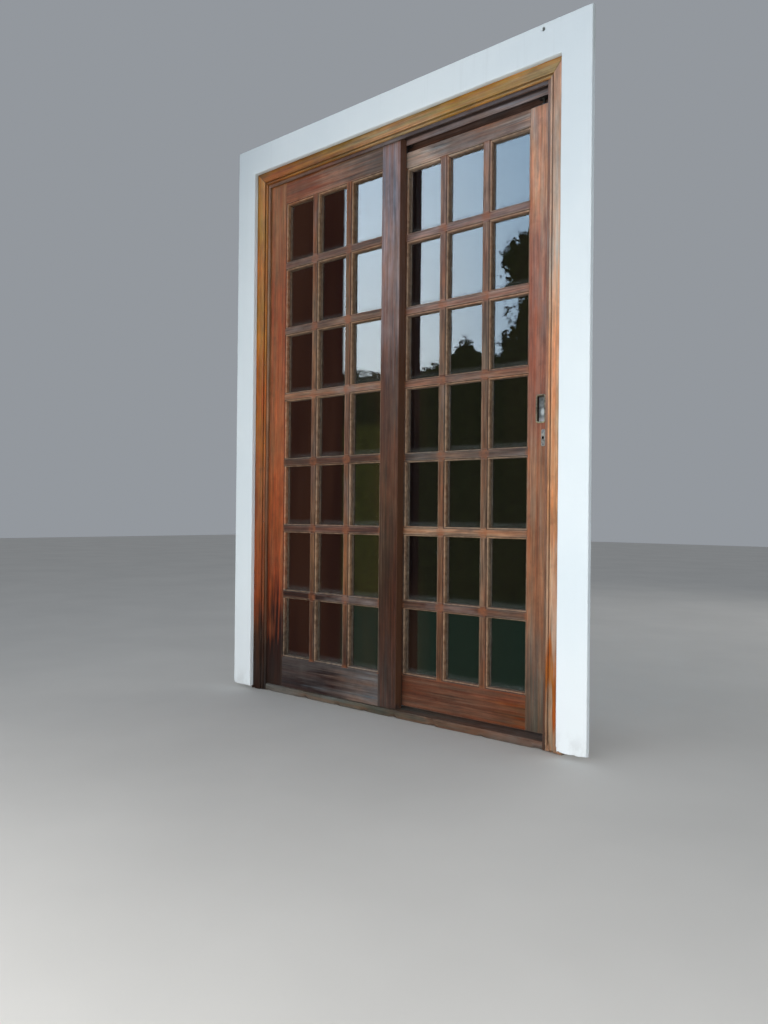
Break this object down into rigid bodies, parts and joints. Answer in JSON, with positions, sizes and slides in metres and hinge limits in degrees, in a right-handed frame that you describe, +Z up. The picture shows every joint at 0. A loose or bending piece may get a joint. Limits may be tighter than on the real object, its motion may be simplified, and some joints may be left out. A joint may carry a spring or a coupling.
{
  "type": "wooden sliding door",
  "caption": "Wooden sliding door in its frame: a fixed leaf and a hung leaf that slides behind it, both with small glass panes, flush pulls and a hook lock.",
  "frame": {"origin": "middle of the base: half the width, half the depth, at the underside of the jambs and sill", "axes": "+Z up, +X to the right seen from outside, -Y towards the outside"},
  "size_m": [1.606, 0.136, 2.253],
  "materials": {
    "white_band": "painted plaster, matt",
    "frame_wood": "weathered varnish",
    "moulding_wood": "worn clear varnish",
    "leaf_wood": "weathered varnish",
    "pane_glass": "clear float glass",
    "aged_brass": "dulled and stained",
    "steel": "zinc plated",
    "rubber": "matt"
  },
  "bodies": {
    "frame": {"fixed_bottom_rail": "leaf_wood", "fixed_cross_bars": "leaf_wood", "fixed_glass": "pane_glass", "fixed_glazing_beads": "leaf_wood", "fixed_meeting_stile": "leaf_wood", "fixed_outer_stile": "leaf_wood", "fixed_top_rail": "leaf_wood", "fixed_upright_bar_1": "leaf_wood", "fixed_upright_bar_2": "leaf_wood", "floor_guide": "steel", "guide_screws": "steel", "head": "frame_wood", "head_divider": "frame_wood", "head_track": "steel", "jamb_left": "frame_wood", "jamb_right": "frame_wood", "moulding_head": "moulding_wood", "moulding_left": "moulding_wood", "moulding_nails": "steel", "moulding_right": "moulding_wood", "sill": "frame_wood", "strike_plate": "steel", "strike_screws": "steel", "surround": "white_band", "track_buffers": "rubber", "track_screws": "steel"},
    "sliding_leaf": {"beak_pin": "steel", "escutcheon_screws": "steel", "faceplate_screws": "steel", "hanger_bolts": "steel", "hanger_nuts": "steel", "hanger_plates": "steel", "hanger_screws": "steel", "inside_escutcheon": "aged_brass", "inside_pull": "aged_brass", "lock_case": "steel", "lock_faceplate": "steel", "outside_escutcheon": "aged_brass", "outside_pull": "aged_brass", "sliding_bottom_rail": "leaf_wood", "sliding_cross_bars": "leaf_wood", "sliding_glass": "pane_glass", "sliding_glazing_beads": "leaf_wood", "sliding_meeting_stile": "leaf_wood", "sliding_outer_stile": "leaf_wood", "sliding_top_rail": "leaf_wood", "sliding_upright_bar_1": "leaf_wood", "sliding_upright_bar_2": "leaf_wood", "trolley_1": "steel", "trolley_2": "steel"},
    "wheelset_1": {"axle_1": "steel", "wheels_1": "steel"},
    "wheelset_2": {"axle_2": "steel", "wheels_2": "steel"},
    "lock_hook": {"lock_beak": "steel"}
  },
  "joints": [
    {"name": "leaf_slide", "type": "slide", "parent": "frame", "child": "sliding_leaf", "axis": [-1, 0, 0], "range_m": [0, 0.6]},
    {"name": "wheelset_1_roll", "type": "hinge", "parent": "sliding_leaf", "child": "wheelset_1", "pos_m": [0.023, 0.0345, 2.1113], "axis": [0, 1, 0], "continuous": true},
    {"name": "wheelset_2_roll", "type": "hinge", "parent": "sliding_leaf", "child": "wheelset_2", "pos_m": [0.589, 0.0345, 2.1113], "axis": [0, 1, 0], "continuous": true},
    {"name": "hook_turn", "type": "hinge", "parent": "sliding_leaf", "child": "lock_hook", "pos_m": [0.65, 0.0345, 0.979], "axis": [0, -1, 0], "range_deg": [0, 110]}
  ],
  "couplings": [
    {"joint": "wheelset_1_roll", "follows": "leaf_slide", "rad_per_m": -100},
    {"joint": "wheelset_2_roll", "follows": "leaf_slide", "rad_per_m": -100}
  ]
}
